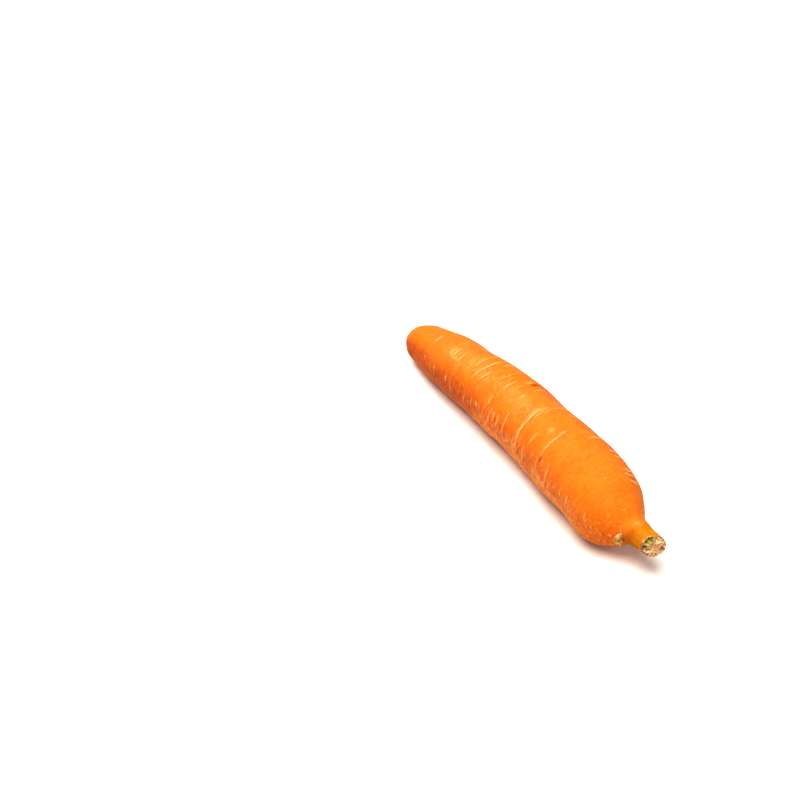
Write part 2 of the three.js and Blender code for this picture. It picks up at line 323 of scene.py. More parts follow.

# %% [markdown]
# ## Blemishes, bloom, painted light and shade, and the crown's creases
# No two spots of skin are alike. There are a few dark eyes and cracks, rubbed patches where the
# skin has dried pale, and a dusty bloom along the flank that lay against other roots. The bloom's
# mask also paints light: it lifts the near flank, and a faint painted highlight runs along the
# ridge. The flanks get painted shade, a deeper orange that is deepest near the tip. All of these
# could be painted as an image, but then the lesson would need a picture file. As masks in numbers
# they stay sharp at any size: small ones are bells at a place on the skin, and broad ones are soft
# windows broken up by noise.

# %% Small spots
# (station, angle, half length in mm, half arc in degrees, strength)
DARK_SPOTS = [
    (27.6, 154, 0.5, 2.2, 0.7), (42.6, 115, 0.6, 3.0, 0.45), (88.3, 65, 0.9, 7.0, 0.85),
    (130.7, 154, 0.45, 5.0, 0.9), (59.5, 250, 0.8, 4.0, 0.7), (112.0, 310, 0.7, 6.0, 0.8),
    (101.5, 352, 0.5, 5.0, 0.7), (146.0, 232, 0.6, 4.0, 0.6), (71.0, 10, 0.5, 4.0, 0.6),
    (96.4, 168, 0.7, 5.0, 0.4), (100.3, 172, 0.6, 6.0, 0.42), (105.7, 176, 0.6, 6.0, 0.45),
    (112.8, 180, 0.7, 5.0, 0.4), (91.4, 163, 0.5, 4.0, 0.4), (139.0, 52, 0.6, 5.0, 0.5),
    (152.2, 46, 0.7, 5.0, 0.55), (161.6, 50, 0.8, 5.0, 0.5), (164.6, 48, 0.8, 6.0, 0.55),
]
NECK_SCAR = (184.3, 99, 1.4, 15, 0.5)     # stands out a little as well
PALE_SPOTS = [
    (43.5, 115, 3.0, 10, 0.75), (46.5, 124, 4.5, 4, 0.7), (108.8, 176, 2.2, 9, 0.6),
    (95.0, 104, 1.4, 6, 0.5), (123.0, 111, 1.6, 5, 0.5), (75.0, 112, 1.0, 3, 0.5),
    (80.0, 112, 1.2, 3, 0.4), NECK_SCAR, (64.0, 300, 3.5, 12, 0.5), (133.0, 345, 4.0, 9, 0.5),
]


def spots(station, angle, places):
    """One mask for all of a list's spots."""
    mask = np.zeros_like(station)
    ragged_edge = 1 + 0.35 * lattice_noise(station, angle, 1.1, 3.6, 41)
    for place, middle, half_length, half_arc, strength in places:
        across = ((station - place) / half_length) ** 2 + (apart(angle, middle) / half_arc) ** 2
        mask = np.maximum(mask, strength * np.exp(-across * ragged_edge))
    return mask


print("dark spots", len(DARK_SPOTS), "pale spots", len(PALE_SPOTS))

# %% Broad patches
RIDGE_ANGLE = 107                         # the line along the top of the root
UNDERSIDE = 300                           # where the near flank ends and the far one begins
# (strength, angle, half arc, stations where it begins, is full, weakens, ends) of each patch:
# the near flank, where it is lifted by painted light, the far flank, and a faint painted highlight
# on the ridge
BLOOM_AND_LIGHT_PATCHES = [
    (1.6, 208, 50, 56, 90, 150, 178), (0.6, 352, 48, 30, 70, 130, 165),
    (0.34, 112, 36, 34, 44, 100, 118),
]


def bloom_and_painted_light(station, angle):
    """The rubbed, whitish skin, strongest in the middle of the near flank, where it also paints
    light; a faint painted highlight runs along the ridge.
    """
    cover = 0.6 * within(angle, 202, 40) * bell(station - 114, 24)
    for strength, middle, half, begins, full, weakens, ends in BLOOM_AND_LIGHT_PATCHES:
        window = smooth(station, begins, full) * (1 - smooth(station, weakens, ends))
        cover = cover + strength * within(angle, middle, half) * window
    broken = 0.5 + 0.35 * lattice_noise(station, angle, 6, 12, 51)
    broken = broken + 0.4 * lattice_noise(station, angle, 1.2, 4.2, 52)
    return np.clip(cover * broken, 0, 1)


def freckled(station, angle):
    """Where small pale flecks crowd: the lower flanks of the thick half."""
    near = within(angle, 200, 62) * smooth(station, 88, 112)
    far = 0.7 * within(angle, 345, 60) * smooth(station, 60, 95)
    shoulder = 0.5 * smooth(station, 168, 178)
    return np.clip(near + far + shoulder, 0, 1) * (1 - smooth(station, 181, 185))


def shaded_flanks(station, angle):
    """Painted shade on the sides of the root, away from its top: a deeper, mottled orange, deepest
    near the tip.
    """
    near = smooth(angle, RIDGE_ANGLE + 24, RIDGE_ANGLE + 74) * (angle < UNDERSIDE)
    near = near * (1 - 0.7 * smooth(angle, 182, 210))
    # The painted shade is strongest near the tip and weaker on the shoulder.
    near = near * (1.9 - 0.9 * smooth(station, 40, 90) - 0.4 * smooth(station, 136, 160))
    down = apart(angle, RIDGE_ANGLE)
    far = smooth(down, 30, 66) * ((angle < RIDGE_ANGLE) | (angle >= UNDERSIDE))
    far = far * (0.45 + 0.55 * smooth(station, 72, 112)) * (1 - 0.75 * smooth(station, 136, 168))
    far = far * (1 - 0.6 * smooth(down, 72, 104))
    ragged = 0.85 + 0.3 * lattice_noise(station, angle, 8, 12, 53)
    deepest = 1.2 - 0.2 * smooth(station, 50, 80)          # deepest of all near the tip
    return np.clip((near + far) * ragged, 0, deepest) * (1 - smooth(station, 179, 184))


print("bloom on the near flank", bloom_and_painted_light(np.array([120.0]), np.array([205.0])).round(2))

# %% The crown's creases
CREASE_FIRST, CREASE_LAST = 144, 188      # angles that the crease above the lobe spans
CREASE_STATION = 180.6
CREASE_RISE = 1.6                         # how far it climbs towards the side shoot
CREASE_WIDTH = 0.28
WRINKLE_WIDTH = 0.8
# (station, middle angle, half arc) of each wrinkle
CROWN_WRINKLES = [
    (170.5, 8, 60), (173.5, 345, 45), (176.5, 20, 50), (178.5, 320, 60), (181.5, 5, 70),
]


def crown_crease(station, angle):
    share = np.clip((angle - CREASE_FIRST) / (CREASE_LAST - CREASE_FIRST), 0, 1)
    line = CREASE_STATION + CREASE_RISE * share ** 2
    ends = np.sin(np.pi * share) ** 0.6
    return bell(station - line, CREASE_WIDTH) * ends


def crown_wrinkles(station, angle):
    mask = np.zeros_like(station)
    for place, middle, half in CROWN_WRINKLES:
        mask = np.maximum(mask, bell(station - place, WRINKLE_WIDTH) * within(angle, middle, half))
    return mask


print("wrinkles round the crown", len(CROWN_WRINKLES))

# %% [markdown]
# ## The skin's surface
# Every point of the skin is a place on the bowed axis, plus a radius at an angle. The relief could
# also come from a displace modifier, which moves points along their normals and would lift the
# skin off the ground. Added to the radius instead, after the solid's own form, it can never drift
# away from the solid. Where the root lies down, nothing goes below the ground.

# %% From station and angle to a point
ORIGIN = np.array([97.587, 2.524, 0.0])     # the part's origin, in the same measure as stations
NECK_START = 183
STALKS = 5
NECK_RIBS = 0.16                          # how far the stalks swell the neck


def plain_radius(station):
    closing = 1 - np.clip(station / TIP_ROUNDING, 0, 1)
    body = np.maximum(TAIL_RADIUS, through(GIRTH, station) * np.sqrt(1 - closing ** 2))
    tail = TAIL_RADIUS * np.clip(1 + station / TAIL_LENGTH, 0, 1) ** 0.6
    return np.where(station < 0, tail, body)


def neck_ribs(station, angle):
    swell = np.cos(STALKS * np.radians(angle - STALK_TURN))
    return NECK_RIBS * swell * smooth(station, NECK_START, NECK_END)


def slant(station, angle):
    return CUT_SLANT * np.cos(np.radians(angle - CUT_ANGLE)) * smooth(station, NECK_START, NECK_END)


def skin_point(station, angle, rise=0.0):
    """A point of the skin in millimetres, raised by the fine relief."""
    lobe = through(LOBE_REACH, station) * within(angle, LOBE_ANGLE, LOBE_HALF_WIDTH)
    radius = plain_radius(station) + skin_relief(station, angle) + neck_ribs(station, angle) + rise
    turn = np.radians(angle)
    x = station + lobe - slant(station, angle)
    y = through(BOW, station) + radius * np.cos(turn)
    z = np.maximum(through(HEIGHT, station) - SETTLE + radius * np.sin(turn), 0)
    return np.stack([x, y, z], axis=-1) - ORIGIN


print("top of the shoulder", skin_point(np.array(140.0), np.array(90.0)).round(2))

# %% Fine relief
GROOVE_DEPTH = 0.24
LIP_HEIGHT = 0.10
DENT_DEPTH = 0.3
CREASE_DEPTH = 0.22
WRINKLE_DEPTH = 0.16
SCAR_HEIGHT = 0.2
GRAIN = 0.035
NECK_FIBRES = 0.022
TAIL_WRINKLES = 0.16


def fine_relief(station, angle, pale, groove, dark):
    """What the solid leaves out: grooves and lips, dents, creases and the grain of the skin."""
    height = LIP_HEIGHT * pale - GROOVE_DEPTH * groove - DENT_DEPTH * dark
    height = height - CREASE_DEPTH * crown_crease(station, angle)
    height = height - WRINKLE_DEPTH * crown_wrinkles(station, angle)
    height = height + SCAR_HEIGHT * spots(station, angle, [NECK_SCAR])
    height = height + GRAIN * lattice_noise(station, angle, 1.2, 5, 61)
    height = height + 1.6 * GRAIN * lattice_noise(station, angle, 4.5, 9, 62)
    turn = np.radians(angle)
    fibres = np.sin(31 * turn + 2 * lattice_noise(station, angle, 5, 12, 63))
    height = height + NECK_FIBRES * fibres * smooth(station, 184, 189)
    pleats = np.sin(9 * turn + 1.5 * np.sin(3 * turn)) * (1 - smooth(station, 0.5, 9))
    height = height + TAIL_WRINKLES * pleats * smooth(station, -2.4, -1.2)
    return height * off_belly(angle)


print("groove", GROOVE_DEPTH, "mm deep between lips", LIP_HEIGHT, "mm high")

# %% [markdown]
# ## Building a mesh from rings
# All three pieces are closed lofts: a first point, a stack of rings, and a last point. They could
# be cylinders with modifiers on them, but the shape is already known at every point. One helper
# builds a mesh from arrays of points. It also stores masks as point attributes, so that a material
# can ask for "pale mark" or "hollow" by name, at just the place where the shape has one.

# %% Helper: a closed loft with named masks
def closed_loft(name, first, rings, last, masks):
    """A mesh object from points in mm. rings is (ring, round, 3); each mask is (ring, round)."""
    count, around = rings.shape[:2]
    points = np.concatenate([first[None], rings.reshape(-1, 3), last[None]])
    ring, turn = np.meshgrid(np.arange(count - 1), np.arange(around), indexing="ij")
    here, beside = 1 + ring * around + turn, 1 + ring * around + (turn + 1) % around
    quads = np.stack([here, beside, beside + around, here + around], -1).reshape(-1, 4)
    turn = np.arange(around)
    after = (turn + 1) % around
    end = 1 + (count - 1) * around
    faces = quads.tolist()
    faces += [(0, 1 + b, 1 + a) for a, b in zip(turn, after)]
    faces += [(end + a, end + b, end + around) for a, b in zip(turn, after)]
    mesh = bpy.data.meshes.new(name)
    mesh.from_pydata((points * MM).tolist(), [], faces)
    for mask_name, mask in masks.items():
        values = np.concatenate([mask[0, :1], mask.reshape(-1), mask[-1, :1]])
        attribute = mesh.attributes.new(mask_name, "FLOAT", "POINT")
        attribute.data.foreach_set("value", values.astype(float))
    mesh.shade_smooth()
    piece = bpy.data.objects.new(name, mesh)
    bpy.context.collection.objects.link(piece)
    print(name, len(mesh.vertices), "vertices,", 2 * len(quads) + 2 * around, "triangles")
    return piece


print("helper ready")

# %% [markdown]
# ## The taproot
# The root is one skin, grown as one. A subdivided cylinder would spread its points evenly. The
# marks run round the root, so here the rings stand close together and the points along a ring
# less so. At the neck the skin turns over a torn rim and goes down into the socket that holds the
# leaf stalks, as it does in the solid.

# %% Stations of the rings
ROUND_STEPS = 130
TAIL_STATIONS = [
    -2.35, -2.2, -1.9, -1.5, -1.1, -0.7, -0.3, 0.05, 0.15, 0.3, 0.5, 0.7, 0.95, 1.25, 1.6,
]

stations = np.concatenate([                # rings stand closest where the marks are
    TAIL_STATIONS,
    np.arange(2.0, 14.0, 0.42),
    np.arange(14.0, 166.0, 0.255),
    np.arange(166.0, NECK_END - 0.5, 0.26),
])
angles = np.arange(ROUND_STEPS) * 360 / ROUND_STEPS
station_grid, angle_grid = np.meshgrid(stations, angles, indexing="ij")
print("rings", len(stations), "points in each", ROUND_STEPS)

# %% Masks and skin points
HALO_SHARE = 0.42
CREASE_PALENESS = 0.35
pale, groove, halo, mark_shade = cross_marks(station_grid, angle_grid)
dark = spots(station_grid, angle_grid, DARK_SPOTS)
relief = fine_relief(station_grid, angle_grid, pale, groove, dark)
skin = skin_point(station_grid, angle_grid, relief)
pale = np.maximum(pale, CREASE_PALENESS * crown_crease(station_grid, angle_grid))
# The bloom mask also holds painted light on the near flank and a faint painted highlight along the
# ridge.
bloom_and_light = bloom_and_painted_light(station_grid, angle_grid)
bloom_and_light = np.maximum(bloom_and_light, spots(station_grid, angle_grid, PALE_SPOTS))
bloom_and_light = np.maximum(bloom_and_light, HALO_SHARE * halo)
print("share of the skin under marks", round(float((pale > 0.3).mean()), 3))

# %% The torn rim and the socket
WALL = 0.5                                # thickness of the skin round the socket
SOCKET_DEPTH = 3.4
RIM_RAGGED = 0.3                          # height of its slow waves
# (inset from the skin, depth under the torn edge) of each ring over the rim
RIM_SECTION = [(0.04, 0.2), (0.1, 0), (0.22, -0.08), (0.36, 0.05), (WALL, 0.35)]
WALL_DEPTHS = (1.2, SOCKET_DEPTH)         # of the two rings down the socket's wall


def torn(angle):
    """Height of the torn edge: the solid's slow waves, with finer teeth on them."""
    turn = np.radians(angle)
    slow = RIM_RAGGED * (0.6 * np.sin(3 * turn + 1) + 0.4 * np.sin(8 * turn))
    teeth = 0.34 * lattice_noise(angle * 0 + 10, angle, 5, 9, 71)
    return slow + teeth + 0.2 * lattice_noise(angle * 0 + 10, angle, 5, 3.6, 72)


def neck_point(share, inset, depth, angle):
    """A point inside the neck: a share of its radius less the inset, at a depth below the rim."""
    turn = np.radians(angle)
    neck = plain_radius(NECK_END)
    reach = share * (neck + neck_ribs(NECK_END, angle) - inset)
    x = NECK_END - depth - slant(NECK_END, angle) * reach / neck
    y = through(BOW, NECK_END) + reach * np.cos(turn)
    z = through(HEIGHT, NECK_END) - SETTLE + reach * np.sin(turn)
    return np.stack(np.broadcast_arrays(x, y, z), axis=-1) - ORIGIN


ragged_rim = torn(angles)
wall_rings = np.stack([
    *(neck_point(1, inset, depth - ragged_rim, angles) for inset, depth in RIM_SECTION),
    *(neck_point(1, WALL, depth, angles) for depth in WALL_DEPTHS),
])
print("the rim's teeth reach", ragged_rim.max().round(2), "mm over the cut")

# %% Masks of neck, rim and dried tail
# how strong the rim's colour is on each ring over the rim and down the wall
WALL_RIM = [0.7, 1, 1, 1, 0.8, 0.1, 0]

neck_mask = smooth(station_grid, 181.0, 187.5)
# Painted shade round the foot of the neck, where it meets the shoulder, mostly on the near side.
neck_foot_shade = 0.95 * within(angle_grid, 158, 84) * bell(station_grid - 184, 5)
rim_fray = 0.5 * lattice_noise(station_grid, angle_grid, 4, 5, 73)
rim_mask = smooth(station_grid + rim_fray, 194.1, 194.9)
tail_fray = 0.8 * lattice_noise(station_grid, angle_grid, 4, 12, 74)
tail_mask = 1 - smooth(station_grid + tail_fray, -0.3, 1.6)
walls = np.ones((len(wall_rings), ROUND_STEPS))
bare = 0 * walls
wall_fray = 0.75 + 0.4 * lattice_noise(angles * 0 + 10, angles, 5, 5, 75)
wall_rim = np.clip(np.array(WALL_RIM)[:, None] * wall_fray, 0, 1)
skin_and_wall = {
    "pale_mark": (pale, bare),
    "dark_mark": (dark, bare),
    "mark_shade": (mark_shade, bare),
    "bloom_and_light": (bloom_and_light, bare),
    "freckles": (freckled(station_grid, angle_grid), bare),
    "shaded_flank": (shaded_flanks(station_grid, angle_grid), bare),
    "neck": (neck_mask, walls),
    "neck_foot_shade": (neck_foot_shade, bare),
    "rim": (rim_mask, wall_rim),
    "dry_tail": (tail_mask, bare),
}
root_masks = {name: np.concatenate(parts) for name, parts in skin_and_wall.items()}
print("masks", sorted(root_masks))

# %% The taproot's mesh
tip = skin_point(np.array(-TAIL_LENGTH), np.array(0.0))
socket_foot = neck_point(0, 0, SOCKET_DEPTH, 0.0)
root_rings = np.concatenate([skin, wall_rings])
taproot = closed_loft("root_skin", tip, root_rings, socket_foot, root_masks)
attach(taproot, "root")
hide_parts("taproot")

cad_low, cad_high = (np.array(corner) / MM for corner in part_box("taproot"))
made = np.array([vertex.co for vertex in taproot.data.vertices]) / MM
below, above = (cad_low - made.min(0)).round(2), (made.max(0) - cad_high).round(2)
print("over the solid's box by", below, above, "mm")

# %% [markdown]
# ## The cut leaf stalks
# When the leaves are cut off, the bases of the five innermost stalks stay in the neck: a tan pith
# in the middle, a hollow outside it in each stalk, pale woody strands side by side like flutes
# with brown gaps between, and frayed edges. Each strand could be a tube of its own. A single face
# of heights over a disc gives all of it, because no part of it overhangs.

# %% The cut face as heights
DEPTH, ARC, SHADE_AMOUNT, GREEN, RUSTY = range(5)
# (depth of the hollow, half its arc, how dark its painted shade is, how green, how rusty) for each
# stalk
STALK_BASES = [
    (2.4, 50, 1.0, 1.0, 0.0), (1.5, 36, 0.5, 0.4, 0.8), (0.9, 24, 0.1, 0.1, 0.2),
    (1.3, 26, 0.42, 0.0, 1.6), (0.8, 30, 0.1, 0.1, 0.1),
]
HOLLOW_RADIUS = 0.76                       # as a share of the face's radius, like the next two
HOLLOW_WIDTH = 0.17
PITH_RADIUS = 0.26
PITH_DIP = 0.4
STALK_PROUD = 0.5                          # how far the stalks stand out of the neck
FACE_LEAN = 0.35                           # more where the neck is longest
FACE_SPREAD = 24                           # mm of noise over a radius of 5, so it comes out fine
STRAND = 0.34                              # height of the woody strands
CRUMPLE = 0.3
FLUTES = 15                                # strands counted round the face
FLUTE = 0.22                               # height of their ridges


def over_stalks(share, angle, quality, radius=HOLLOW_RADIUS, width=HOLLOW_WIDTH, wider=1.0):
    """The sum over the stalks of one of their qualities, near a radius in each."""
    total = 0 * share
    for k, stalk in enumerate(STALK_BASES):
        middle = STALK_TURN + k * 360 / STALKS
        here = bell(share - radius, width) * within(angle, middle, stalk[ARC] * wider)
        total = total + stalk[quality] * here
    return total


def face_noise(share, angle, length, arc, seed):
    return lattice_noise(share * FACE_SPREAD, angle, length, arc, seed)


def fluting(share, angle):
    """Rounded strands side by side, -1 to 1, with narrow gaps between them."""
    waver = 1.1 * face_noise(share, angle, 8, 24, 85)
    ridge = np.abs(np.sin(FLUTES / 2 * np.radians(angle) + waver)) ** 0.6
    return (2 * ridge - 1.3) * smooth(share, 0.25, 0.5)


def cut_face(share, angle):
    """Height of the face over the cut, at a share of its radius."""
    turn = np.radians(angle)
    height = STALK_PROUD + FACE_LEAN * np.cos(turn - np.radians(CUT_ANGLE + 180)) * share
    height = height - over_stalks(share, angle, DEPTH)
    between = np.cos(STALKS * (turn - np.radians(STALK_TURN)) / 2) ** 2
    height = height - 0.25 * (1 - between) * smooth(share, 0.4, 1)
    height = height + 0.12 * np.sin(9 * turn + 5 * share) * share + FLUTE * fluting(share, angle)
    height = height - PITH_DIP * bell(share, PITH_RADIUS)
    strands = face_noise(share, angle, 7, 6, 81) * smooth(share, 0.15, 0.4)
    crumple = face_noise(share, angle, 1.7, 12, 82) + face_noise(share, angle, 4.5, 24, 84)
    return height + STRAND * strands + CRUMPLE * crumple * smooth(share, 0.2, 0.5)


print("face at its middle", cut_face(np.array(0.0), np.array(0.0)).round(2), "mm")

# %% The stalks' mesh
STALK_ROUND_STEPS = 150
STALK_FIT = WALL + 0.08                    # the skin grips the stalks closely
EDGE_DROPS = (0.35, 0.12)                  # how far the two outer rings round the edge off
# (radius, width, how much wider than the hollow's its arc is) of the hollows' painted shade
# and of each colour, as shares
SHADE_RING, GREEN_RING, RUSTY_RING = (0.9, 0.13, 1.15), (0.62, 0.34, 1.3), (0.62, 0.26, 1.5)

shares = np.linspace(1, 0.015, 56)
stalk_turns = np.arange(STALK_ROUND_STEPS) * 360 / STALK_ROUND_STEPS
share_grid, turn_grid = np.meshgrid(shares, stalk_turns, indexing="ij")
face_height = cut_face(share_grid, turn_grid)
for ring, drop in enumerate(EDGE_DROPS):
    face_height[ring] -= drop
face_rings = neck_point(share_grid, STALK_FIT, -face_height, turn_grid)
foot_ring = neck_point(1, STALK_FIT, SOCKET_DEPTH - 0.1, turn_grid[0])[None]
flute_grid = fluting(share_grid, turn_grid)
scallops = 0.1 * flute_grid * smooth(share_grid, 0.4, 0.7)
edge_fray = 0.09 * face_noise(share_grid, turn_grid, 2, 7, 83)
strand_noise = face_noise(share_grid, turn_grid, 7, 6, 81)
# The hollows' painted shade, darkest in the first stalk.
hollow_shade = over_stalks(share_grid + scallops, turn_grid, SHADE_AMOUNT, *SHADE_RING)
greenness = over_stalks(share_grid, turn_grid, GREEN, *GREEN_RING)
rustiness = over_stalks(share_grid + edge_fray, turn_grid, RUSTY, *RUSTY_RING)
low_places = face_height - STALK_PROUD + over_stalks(share_grid, turn_grid, DEPTH)
face_masks = {
    "hollow_shade": smooth(hollow_shade, 0.22, 0.5),
    "green": smooth(greenness, 0.1, 0.7),
    "rust": smooth(rustiness, 0.15, 0.7),
    "strand": np.clip(0.5 + 0.35 * flute_grid + 0.35 * strand_noise, 0, 1),
    "gap": (1 - smooth(low_places, -0.75, -0.25)) * smooth(share_grid, 0.3, 0.5),
    "edge": smooth(share_grid + edge_fray, 0.9, 0.99),
    "pith": bell(share_grid, PITH_RADIUS * 1.5),
}
leaf_stalks = closed_loft(
    "cut_leaf_stalks", neck_point(0, 0, SOCKET_DEPTH - 0.1, 0.0),
    np.concatenate([foot_ring, face_rings]), neck_point(0, 0, -cut_face(np.array(0.0), 0.0), 0.0),
    {name: np.concatenate([mask[:1], mask]) for name, mask in face_masks.items()},
)
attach(leaf_stalks, "root")
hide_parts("leaf_stalks")

# %% [markdown]
# ## The side shoot
# On the lobe of the shoulder a small shoot was cut short. What is left is a low pale cap of dry
# ribs round a sunken middle. A separate cap could be laid on with a shrinkwrap. Here each of its
# points is raised from the skin along the skin's own slope, so it sits on the curve without a gap.

# %% The side shoot's form
SHOOT_STATION = 180.5
SHOOT_ANGLE = 195
SHOOT_HALF_LENGTH = 2.5
SHOOT_HALF_ARC = 29
SHOOT_HEIGHT = 1.25
SHOOT_LEAN = 1.2                          # its pointed end leans up to the crease
SHOOT_SINK = 0.15                         # how far its underside goes into the skin
SHOOT_RIBS = 7                            # broad ribs, each split by finer ones
RIB_HEIGHT = 0.2
CRATER_DEPTH = 0.5


def shoot_point(share, turn_angle, height):
    """A point raised off the skin, at a share of the shoot's radius."""
    turn = np.radians(turn_angle)
    outline = 1 + 0.05 * np.sin(3 * turn + 0.7) + 0.03 * np.sin(8 * turn)
    blunt = 1.0 + 0.15 * np.cos(turn)
    half_length = SHOOT_HALF_LENGTH * blunt * outline
    lean = -SHOOT_LEAN * share * np.cos(turn)
    station = SHOOT_STATION + half_length * share * np.sin(turn) + lean
    angle = SHOOT_ANGLE + SHOOT_HALF_ARC * outline * share * np.cos(turn)
    point = skin_point(station, angle)
    along = skin_point(station + 0.1, angle) - point
    around = skin_point(station, angle + 0.1) - point
    outward = np.cross(around, along)
    outward /= np.linalg.norm(outward, axis=-1, keepdims=True)
    return point + outward * np.asarray(height)[..., None]


def shoot_rib(share, turn_angle):
    turn = np.radians(turn_angle)
    ribs = np.cos(SHOOT_RIBS * turn + 1.5 * np.sin(2 * turn) + 3 * share)
    ribs = 0.65 * ribs + 0.35 * np.cos(3 * SHOOT_RIBS * turn + 2 * np.sin(turn) + 5 * share)
    return ribs * np.sin(np.pi * np.clip(share, 0, 1)) ** 0.7


def shoot_top(share, turn_angle):
    dome = SHOOT_HEIGHT * np.sqrt(np.clip(1 - share ** 2, 0, 1))
    rough_top = 0.10 * lattice_noise(share * 20, turn_angle, 3, 12, 91)
    ribs = RIB_HEIGHT * shoot_rib(share, turn_angle)
    return dome + ribs - CRATER_DEPTH * bell(share, 0.3) + rough_top


print("shoot's middle above the skin", shoot_top(np.array(0.0), np.array(0.0)).round(2), "mm")

# %% The side shoot's mesh
SHOOT_ROUND_STEPS = 120
shoot_turns = np.arange(SHOOT_ROUND_STEPS) * 360 / SHOOT_ROUND_STEPS
under_share, under_turn = np.meshgrid(np.linspace(0.1, 1, 6), shoot_turns, indexing="ij")
dome_shares = np.sin(np.linspace(np.pi / 2, 0.02, 34))
over_share, over_turn = np.meshgrid(dome_shares, shoot_turns, indexing="ij")
under = shoot_point(under_share, under_turn, under_share * 0 - SHOOT_SINK)
over = shoot_point(over_share, over_turn, shoot_top(over_share, over_turn))
rib_mask = smooth(0.5 + 0.5 * shoot_rib(over_share, over_turn), 0.3, 0.8)
centre = np.array(0.0)
side_shoot = closed_loft(
    "cut_side_shoot", shoot_point(centre, centre, -SHOOT_SINK), np.concatenate([under, over]),
    shoot_point(centre, centre, shoot_top(centre, centre)),
    {
        "rib": np.concatenate([under_share * 0, rib_mask]),
        "crater": np.concatenate([under_share * 0, bell(over_share, 0.35)]),
    },
)
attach(side_shoot, "root")
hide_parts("side_shoot")

# %% [markdown]
# ## Colours
# Carrot orange is deep and nearly free of blue. Light turns it yellow and shade turns it red, so
# the skin's own colour only wanders a little between three oranges. A fourth, redder one colours
# the pores and also paints shade on the flanks and beside the marks. The pale marks and flecks
# are the same corky dry skin, and the bloom's pale tone also paints light on the near flank and
# the ridge. Colours could be picked in the material panels one by one. A named list keeps them
# together. Its values are the colours as a screen shows them, and one helper turns them into the
# linear ones that Blender wants.

# %% Named colours
def colour(red, green, blue):
    """A screen colour, 0 to 255, as linear RGBA."""
    parts = [value / 255 for value in (red, green, blue)]
    linear = [p / 12.92 if p <= 0.04045 else ((p + 0.055) / 1.055) ** 2.4 for p in parts]
    return (*linear, 1)


ORANGE = colour(226, 126, 28)
ORANGE_DEEP = colour(219, 110, 20)
ORANGE_LIGHT = colour(236, 142, 38)
ORANGE_RED = colour(180, 72, 8)
CORKY = colour(252, 182, 114)
PALE_BLOOM_AND_LIGHT = colour(250, 174, 106)
NECK_OCHRE = colour(196, 128, 18)
NECK_SHADE = colour(178, 88, 16)
SCAR_BROWN = colour(120, 44, 14)
RIM_CREAM = colour(240, 204, 140)
RIM_BROWN = colour(170, 116, 50)
TAIL_TAN = colour(180, 112, 56)
STALK_TAN = colour(210, 150, 92)
STRAND_CREAM = colour(254, 238, 196)
STRAND_GREEN = colour(206, 194, 98)
FLUTE_OLIVE = colour(150, 136, 34)
HOLLOW_SHADE_GREEN = colour(90, 74, 12)
GAP_BROWN = colour(132, 78, 34)
HOLLOW_RUST = colour(172, 76, 30)
SHOOT_STRAW = colour(204, 146, 66)
SHOOT_PALE_AND_HIGHLIGHT = colour(242, 202, 122)
SHOOT_SPECK = colour(160, 106, 44)
PAPER_WHITE = colour(247, 239, 230)
PAPER_FIBRE = colour(250, 243, 235)
PAPER_BOUNCE = colour(208, 186, 164)
print("orange, linear", [round(value, 3) for value in ORANGE[:3]])

# %% [markdown]
# ## Effects that the materials share
# Soft patches, streaks and specks turn up on the skin, the stalks and the shoot, only at other
# sizes. Every material could have its own noise nodes, but a change would then have to be made in
# each. So each effect is a node group with named inputs, built once. A group puts out a mask, and
# the material decides what the mask does.

# %% Helpers for nodes
def node(tree, kind, values=None, **settings):
    """A node with its settings, and its inputs set to numbers or joined to sockets."""
    made = tree.nodes.new(kind)
    for name, value in settings.items():
        setattr(made, name, value)
    for name, value in (values or {}).items():
        if isinstance(value, bpy.types.NodeSocket):
            tree.links.new(value, made.inputs[name])
        else:
            made.inputs[name].default_value = value
    return made


def maths(tree, operation, first, second):
    return node(tree, "ShaderNodeMath", {0: first, 1: second}, operation=operation).outputs[0]


def times(tree, first, second):
    return maths(tree, "MULTIPLY", first, second)


def plus(tree, first, second):
    return maths(tree, "ADD", first, second)


def mixed(tree, share, first, second):
    """A colour part of the way from the first to the second."""
    inputs = {0: share, 6: first, 7: second}
    return node(tree, "ShaderNodeMix", inputs, data_type="RGBA").outputs[2]


def layered(tree, base, layers):
    """A base colour with each (mask, colour) laid over it in turn."""
    for mask, over in layers:
        base = mixed(tree, mask, base, over)
    return base


def stored(tree, mask_name, share=1):
    """A mask that the mesh carries, or a share of it."""
    mask = node(tree, "ShaderNodeAttribute", attribute_name=mask_name).outputs["Fac"]
    return mask if share == 1 else times(tree, mask, share)


print("helpers for nodes ready")

# %% Helpers for node groups
def new_group(name, inputs, outputs):
    """An empty node group with float inputs (name: default) and float outputs."""
    tree = bpy.data.node_groups.new(name, "ShaderNodeTree")
    for socket, default in inputs.items():
        made = tree.interface.new_socket(socket, in_out="INPUT", socket_type="NodeSocketFloat")
        made.default_value = default
    for socket in outputs:
        tree.interface.new_socket(socket, in_out="OUTPUT", socket_type="NodeSocketFloat")
    return tree, node(tree, "NodeGroupInput").outputs, node(tree, "NodeGroupOutput").inputs


def use(tree, group, **values):
    """The group placed in a material; its named outputs are returned."""
    named = {name.replace("_", " "): value for name, value in values.items()}
    return node(tree, "ShaderNodeGroup", named, node_tree=group).outputs


def scaled_place(tree, along, around):
    """Where a point is on the object, scaled along the root and around it."""
    place = node(tree, "ShaderNodeTexCoord").outputs["Object"]
    scale = node(tree, "ShaderNodeCombineXYZ", {0: along, 1: around, 2: around}).outputs[0]
    inputs = {0: place, 1: scale}
    return node(tree, "ShaderNodeVectorMath", inputs, operation="MULTIPLY").outputs[0]


print("helpers for node groups ready")

